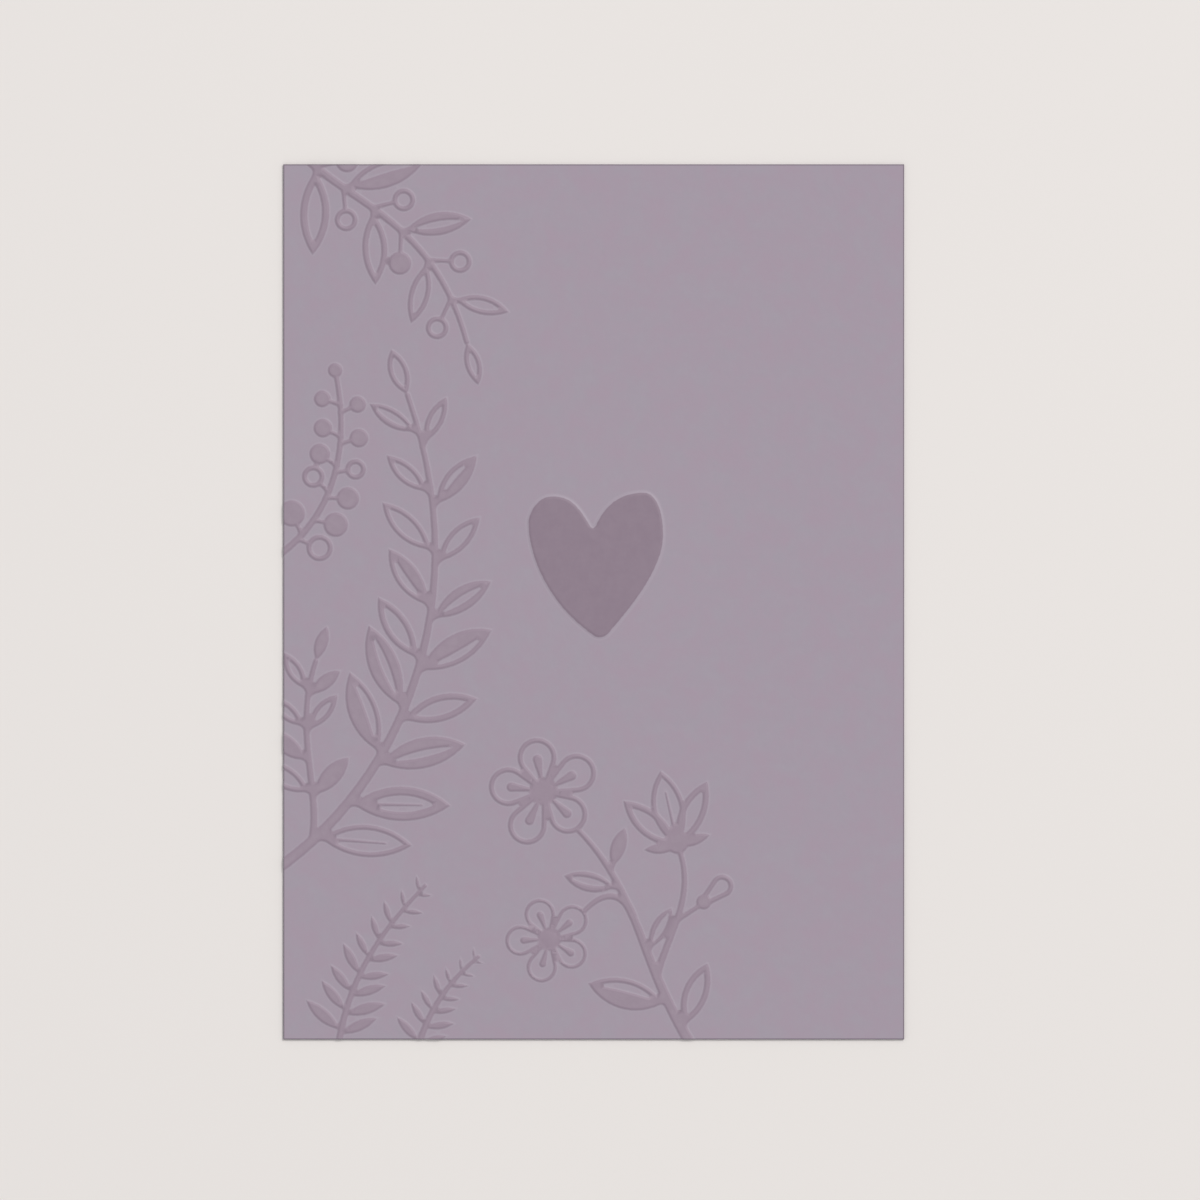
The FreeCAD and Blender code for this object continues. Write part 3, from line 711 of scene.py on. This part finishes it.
# Points round a rectangle set in from the sheet's edges, a spacing apart, corners included.
def ringPoints(inset, spacing):
    low, right, top = inset, cardWidth - inset, cardHeight - inset
    acrossSteps = round(cardWidth / spacing)
    upSteps = round(cardHeight / spacing)
    across = low + (right - low) * np.arange(acrossSteps) / acrossSteps
    up = low + (top - low) * np.arange(upSteps) / upSteps
    return np.concatenate([
        np.stack([across, np.full(acrossSteps, low)], axis=1),
        np.stack([np.full(upSteps, right), up], axis=1),
        np.stack([right + low - across, np.full(acrossSteps, top)], axis=1),
        np.stack([np.full(upSteps, low), top + low - up], axis=1),
    ])


# Triangles between the points, inside the ring. Gives the plane's points, the triangles, and which
# of the points are the ring's.
def triangulate(points, ring):
    together = np.concatenate([ring, points])
    insideBorder, tolerance = 1, 1e-4  # keeps only the triangles inside the ring
    found = delaunay_2d_cdt(together.tolist(), [], [list(range(len(ring)))], insideBorder, tolerance)
    plane, triangles, sources = np.array(found[0]), np.array(found[2]), found[3]
    place = np.full(len(together), -1)
    counts = list(map(len, sources))
    place[np.concatenate(sources).astype(int)] = np.repeat(np.arange(len(sources)), counts)
    return plane, triangles, place[:len(ring)]


# Points for the face: rows within the strokes' slopes and the heart's, and rows along the cut edges.
def facePoints():
    levels = [-press["slope"] * share for share in sheetMesh["faceRows"]] + [-heart["slope"]]
    rings = [ringPoints(inset, sheetMesh["ringSpacing"]) for inset in sheetMesh["rings"]]
    return np.concatenate([
        sidePoints(levels, sheetMesh["faceSpacing"], sheetMesh["outside"]), *rings,
    ])


# Points for the back: the same from further inside the strokes, with sparser rows along the edges.
def backPoints():
    levels = [-press["backInset"] - press["backSlope"] * share for share in sheetMesh["backRows"]]
    rings = [ringPoints(inset, sheetMesh["ground"]) for inset in sheetMesh["rings"]]
    return np.concatenate([sidePoints(levels, sheetMesh["backSpacing"]), *rings])


# The whole sheet as one closed mesh: the face, the back, and between them the cut edges, which are
# rounded by a narrow strip above and below.
def buildSheet():
    border = press["cutRound"]
    ring = ringPoints(border, sheetMesh["ringSpacing"])
    edge = ringPoints(0.0, sheetMesh["ringSpacing"])
    face, faceTriangles, faceRing = triangulate(facePoints(), ring)
    back, backTriangles, backRing = triangulate(backPoints(), ring)
    print("sheet:", len(face), "face points,", len(back), "back points")

    faceX, faceY = face.T
    backX, backY = back.T
    ringX, ringY = ring.T
    upper = np.column_stack([face, faceHeight(faceX, faceY)])
    lower = np.column_stack([back, backHeight(backX, backY)])
    upperEdge = np.column_stack([edge, faceHeight(ringX, ringY) - border])
    lowerEdge = np.column_stack([edge, backHeight(ringX, ringY) + border])
    vertices = np.concatenate([upper, lower, upperEdge, lowerEdge])
    vertices = vertices * mm + (cardLow[0], cardLow[1], cardLow[2])

    outward = edge - ring
    outward = np.column_stack([outward, np.zeros(len(edge))]) / np.linalg.norm(outward, axis=1)[:, None]
    normals = np.concatenate([
        normalsOf(faceHeight, faceX, faceY), -normalsOf(backHeight, backX, backY), outward, outward,
    ])

    backStart = len(upper)
    upperStart = backStart + len(lower)
    lowerStart = upperStart + len(edge)
    here = np.arange(len(edge))
    after = np.roll(here, -1)
    rings = [faceRing, upperStart + here, lowerStart + here, backStart + backRing]
    strips = []
    for above, below in zip(rings, rings[1:]):
        strips.append(np.stack([above, below, below[after], above[after]], axis=1))
    faces = faceTriangles.tolist() + (backStart + backTriangles[:, ::-1]).tolist()
    faces += np.concatenate(strips).tolist()

    mesh = bpy.data.meshes.new("embossed_card")
    mesh.from_pydata(vertices.tolist(), [], faces)
    mesh.polygons.foreach_set("use_smooth", np.ones(len(faces), bool))
    mesh.normals_split_custom_set_from_vertices(normals.tolist())
    addDepths(mesh, face, back, len(vertices))
    mesh.validate()
    print("sheet:", len(vertices), "vertices,", len(faces), "faces")
    return mesh


# How far each point is from the nearest cut edge.
def edgeDistance(x, y):
    return np.minimum(np.minimum(x, cardWidth - x), np.minimum(y, cardHeight - y))


# Three distances that the card's material reads, in mm: how deep each point of the face lies inside
# a stroke, how deep inside the heart, and how far each point of either side is from the cut edge.
# The back has no tint or field, and the cut edges themselves lie beyond both sides.
def addDepths(mesh, face, back, count):
    nowhere, onEdge = -5.0, -0.2
    depths = {
        "strokeDepth": [-pressedDistance(*face.T)],
        "heartDepth": [-outlineDistance(*face.T, heartOutline())],
        "edgeDepth": [edgeDistance(*face.T), edgeDistance(*back.T)],
    }
    for name, parts in depths.items():
        depth = np.concatenate(parts)
        values = np.full(count, onEdge if name == "edgeDepth" else nowhere)
        values[:len(depth)] = np.maximum(depth, nowhere)
        attribute = mesh.attributes.new(name, "FLOAT", "POINT")
        attribute.data.foreach_set("value", values.astype(np.float32))


stock = {
    "ground": (0.374, 0.325, 0.385),    # mauve grey card
    "cloud": (0.368, 0.319, 0.379),     # where its pulp is denser
    "warm": (0.383, 0.308, 0.376),      # its slightly pinker patches
    "shadedSide": (0.318, 0.243, 0.307),  # painted shade: the tint darker along the sloping sides of the pressed strokes
    "top": (0.338, 0.266, 0.328),       # painted highlight: the tint a little lighter in their middle, on their tops
    "worn": (0.317, 0.246, 0.307),      # where its pulp is denser
    "rim": (0.384, 0.324, 0.388),       # painted highlight: a pale rim where the relief begins
    "heart": (0.271, 0.204, 0.259),     # field in the heart
    "heartCloud": (0.259, 0.193, 0.248),  # where its pulp is denser
    "border": (0.19, 0.154, 0.19),      # painted shade: a dark line along the sheet's border
    "cut": (0.29, 0.245, 0.30),         # cut edge, painted darker as shade
    "patchSize": 4.5,                   # mm across a patch of the pinker tint
    "cloudSize": 1.6,                   # mm across a cloud
    "featherSize": 0.6,                 # mm along the uneven borders of the tint and the field
    "feather": 0.2,                     # mm that those borders wander
    "rimHighlightDepth": (-0.2, 0.0),        # mm into a stroke where its painted highlight rim begins and is full
    "tintDepth": (0.03, 0.36),          # the same for its tint,
    "topHighlightDepth": (0.45, 1.0),            # for the painted highlight of its middle,
    "fieldHighlightDepth": (-0.25, 0.0),      # and, into the heart, for its painted highlight rim
    "fieldSoft": 0.08,                  # half the width of the field's border
    "borderShadeDepth": (0.28, 0.06),        # mm in from the cut edge where the border's painted shade begins and is full
    "cutShadeDepth": (0.0, -0.1),            # and, beyond both sides, the cut edge's painted shade
    "roughness": (0.82, 0.56),          # of plain card, and of card polished by the press
    "pulpSize": 2.2,                    # mm across a hump of uneven pulp
    "pulpShare": 4.0,                   # how many times higher it is than a fibre
    "fibreSize": 0.45,                  # mm along a paper fibre
    "bumpHeight": 0.02,                 # mm
    "bumpStrength": 0.5,
}
noiseMiddle = (0.35, 0.65)  # most of a noise's values are between these


# A node of a material, with its inputs set or linked.
def addNode(tree, kind, inputs=None, **settings):
    node = tree.nodes.new(kind)
    for name, value in settings.items():
        setattr(node, name, value)
    for name, value in (inputs or {}).items():
        socket = node.inputs[name]
        if isinstance(value, bpy.types.NodeSocket):
            tree.links.new(value, socket)
        else:
            socket.default_value = value
    return node


# How far a depth has gone from one value to another, 0 to 1, by a smooth step.
def depthShare(tree, depth, start, end):
    share = addNode(tree, "ShaderNodeMapRange", {
        "Value": depth, "From Min": start, "From Max": end,
    }, interpolation_type="SMOOTHSTEP")
    return share.outputs["Result"]


# Noise of a given size in mm.
def addNoise(tree, place, size, **inputs):
    noise = addNode(tree, "ShaderNodeTexNoise", {"Vector": place, "Scale": 1 / (size * mm), **inputs})
    return noise.outputs["Fac"]


# Noise mapped so that its middle range spans 0 to 1.
def patchShare(tree, noise):
    low, high = noiseMiddle
    share = addNode(tree, "ShaderNodeMapRange", {"Value": noise, "From Min": low, "From Max": high})
    return share.outputs["Result"]


# One colour laid over another by share.
def layColour(tree, share, under, over):
    mix = addNode(tree, "ShaderNodeMix", data_type="RGBA")
    sockets = [socket for socket in mix.inputs if socket.type == "RGBA"]
    tree.links.new(share, mix.inputs["Factor"])
    for socket, colour in zip(sockets, (under, over)):
        if isinstance(colour, bpy.types.NodeSocket):
            tree.links.new(colour, socket)
        else:
            socket.default_value = (*colour, 1.0)
    return [socket for socket in mix.outputs if socket.type == "RGBA"][0]


# Uncoated card: faint pinker patches, a pale rim of painted highlight round everything pressed,
# the strokes tinted darker along their sloping sides than in their middle as painted shade and
# highlight, the heart's dark field, slightly ragged borders to the tint and the field, a dark line of
# painted shade along the sheet's border and cut edges painted darker as shade, faint clouds of denser
# pulp in all but that, and a bump of fine fibres over the softer unevenness of the pulp. The press has
# also polished what it pressed.
def makeCardStock():
    material = bpy.data.materials.new("card_stock")
    material.use_nodes = True
    tree = material.node_tree
    shader = tree.nodes["Principled BSDF"]
    place = addNode(tree, "ShaderNodeTexCoord").outputs["Object"]
    stroke, field, edge = [
        addNode(tree, "ShaderNodeAttribute", attribute_name=name).outputs["Fac"]
        for name in ("strokeDepth", "heartDepth", "edgeDepth")
    ]
    patches = addNoise(tree, place, stock["patchSize"], Detail=4.0, Roughness=0.65)
    clouds = patchShare(tree, addNoise(tree, place, stock["cloudSize"], Detail=3.0, Roughness=0.6))
    feather = addNoise(tree, place, stock["featherSize"], Detail=2.0)
    raggedStroke, raggedField = [
        addNode(tree, "ShaderNodeMath", {0: feather, 1: stock["feather"], 2: depth},
                operation="MULTIPLY_ADD").outputs["Value"]
        for depth in (stroke, field)
    ]

    lift = stock["feather"] / 2  # what the feathering adds to a depth on average
    tintFrom, tintFull = stock["tintDepth"]
    fieldEdge = heart["rim"] + lift
    # pressed: a pale rim just outside every stroke, painted highlight. The same share sets the polish.
    pressed = depthShare(tree, stroke, *stock["rimHighlightDepth"])
    # The lighter middle of the tint is painted highlight; its sloping sides stay darker as painted shade.
    onTopHighlight = depthShare(tree, stroke, *stock["topHighlightDepth"])
    inTint = depthShare(tree, raggedStroke, tintFrom + lift, tintFull + lift)
    # The pale rim round the heart is painted highlight as well.
    inRimHighlight = depthShare(tree, field, *stock["fieldHighlightDepth"])
    inField = depthShare(tree, raggedField, fieldEdge - stock["fieldSoft"], fieldEdge + stock["fieldSoft"])
    # The dark line along the sheet's border is painted shade.
    inBorderShade = depthShare(tree, edge, *stock["borderShadeDepth"])
    # The darker cut edges are painted shade.
    onShadedCut = depthShare(tree, edge, *stock["cutShadeDepth"])

    ground = layColour(tree, clouds, stock["ground"], stock["cloud"])
    top = layColour(tree, clouds, stock["top"], stock["worn"])
    # The strokes' tint: painted shade on their sloping sides, painted highlight on their tops.
    tint = layColour(tree, onTopHighlight, stock["shadedSide"], top)
    plum = layColour(tree, clouds, stock["heart"], stock["heartCloud"])
    colour = layColour(tree, patchShare(tree, patches), ground, stock["warm"])
    # Painted highlight: pale rims round the strokes.
    colour = layColour(tree, pressed, colour, stock["rim"])
    colour = layColour(tree, inTint, colour, tint)
    # Painted highlight: pale rim round the heart.
    colour = layColour(tree, inRimHighlight, colour, stock["rim"])
    colour = layColour(tree, inField, colour, plum)
    # Painted shade: dark line along the sheet's border.
    colour = layColour(tree, inBorderShade, colour, stock["border"])
    # Painted shade on the cut edges.
    colour = layColour(tree, onShadedCut, colour, stock["cut"])
    tree.links.new(colour, shader.inputs["Base Color"])

    plain, polished = stock["roughness"]
    roughness = addNode(tree, "ShaderNodeMapRange", {"Value": pressed, "To Min": plain, "To Max": polished})
    tree.links.new(roughness.outputs["Result"], shader.inputs["Roughness"])

    fibres = addNoise(tree, place, stock["fibreSize"], Detail=5.0, Roughness=0.65, Distortion=1.2)
    pulp = addNoise(tree, place, stock["pulpSize"], Detail=2.0)
    height = addNode(tree, "ShaderNodeMath", {0: pulp, 1: stock["pulpShare"], 2: fibres},
                     operation="MULTIPLY_ADD")
    bump = addNode(tree, "ShaderNodeBump", {
        "Height": height.outputs["Value"], "Strength": stock["bumpStrength"],
        "Distance": stock["bumpHeight"] * mm,
    })
    tree.links.new(bump.outputs["Normal"], shader.inputs["Normal"])
    return material


def makeCard():
    card = bpy.data.objects.new("embossed_card", buildSheet())
    bpy.context.scene.collection.objects.link(card)
    card.data.materials.append(makeCardStock())
    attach(card, "root")
    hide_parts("card")


studio = {
    "floorColour": (0.85, 0.81, 0.784),
    "floorShade": 0.985,             # its darkest patches, as a share of that colour
    "floorPatch": 250.0,             # mm across a patch
    "floorRoughness": 0.9,
    "floorSize": 3.0,
    "floorGap": 0.03,                # mm that it lies below the card, so that they don't mix
    "keyPlace": (1.87, 2.21, 3.91),  # upper right of the card
    "keySize": 1.7, "keyPower": 116.0, "keyColour": (1.0, 0.985, 0.965),
    "fillStrength": 0.58, "fillColour": (0.975, 0.985, 1.0),
    "viewWidth": 0.2029,             # width of floor that the camera sees
    "viewRight": 0.00106, "viewUp": 0.00032,
    "cameraHeight": 1.1,
    "sensor": 36.0,                  # mm
}


def makeFloor():
    half = studio["floorSize"] / 2
    level = cardLow[2] - studio["floorGap"] * mm
    corners = [(-half, -half, level), (half, -half, level), (half, half, level), (-half, half, level)]
    mesh = bpy.data.meshes.new("floor")
    mesh.from_pydata(corners, [], [(0, 1, 2, 3)])
    floor = bpy.data.objects.new("floor", mesh)
    bpy.context.scene.collection.objects.link(floor)
    material = bpy.data.materials.new("floor")
    material.use_nodes = True
    tree = material.node_tree
    shader = tree.nodes["Principled BSDF"]
    place = addNode(tree, "ShaderNodeTexCoord").outputs["Object"]
    patches = addNoise(tree, place, studio["floorPatch"], Detail=2.0)
    shaded = tuple(studio["floorShade"] * part for part in studio["floorColour"])
    tint = layColour(tree, patches, studio["floorColour"], shaded)
    tree.links.new(tint, shader.inputs["Base Color"])
    shader.inputs["Roughness"].default_value = studio["floorRoughness"]
    mesh.materials.append(material)


def makeLights():
    world = bpy.data.worlds.new("studio")
    bpy.context.scene.world = world
    world.use_nodes = True
    background = world.node_tree.nodes["Background"]
    background.inputs["Color"].default_value = (*studio["fillColour"], 1.0)
    background.inputs["Strength"].default_value = studio["fillStrength"]
    lamp = bpy.data.lights.new("key", "AREA")
    lamp.shape = "DISK"
    lamp.size = studio["keySize"]
    lamp.energy = studio["keyPower"]
    lamp.color = studio["keyColour"]
    key = bpy.data.objects.new("key", lamp)
    key.location = studio["keyPlace"]
    key.rotation_euler = key.location.to_track_quat("Z", "Y").to_euler()
    bpy.context.scene.collection.objects.link(key)


# Straight down onto the card. The focal length is the sensor's width times the height above the
# card, over the width seen there.
def makeCamera():
    lens = bpy.data.cameras.new("camera")
    lens.sensor_width = studio["sensor"]
    lens.lens = studio["sensor"] * studio["cameraHeight"] / studio["viewWidth"]
    camera = bpy.data.objects.new("camera", lens)
    camera.location = (studio["viewRight"], studio["viewUp"], studio["cameraHeight"] + cardHigh[2])
    bpy.context.scene.collection.objects.link(camera)
    bpy.context.scene.camera = camera
    bpy.context.scene.view_settings.view_transform = "Standard"


drawBranch()
drawSpray()
drawSprig()
drawCoinTwig()
drawFerns()
addStroke(outlineDistance, (heartOutline(),), heartOutline())
print("drawing:", len(strokes), "strokes")
makeCard()
makeFloor()
makeLights()
makeCamera()
print("studio: floor, lights and camera")
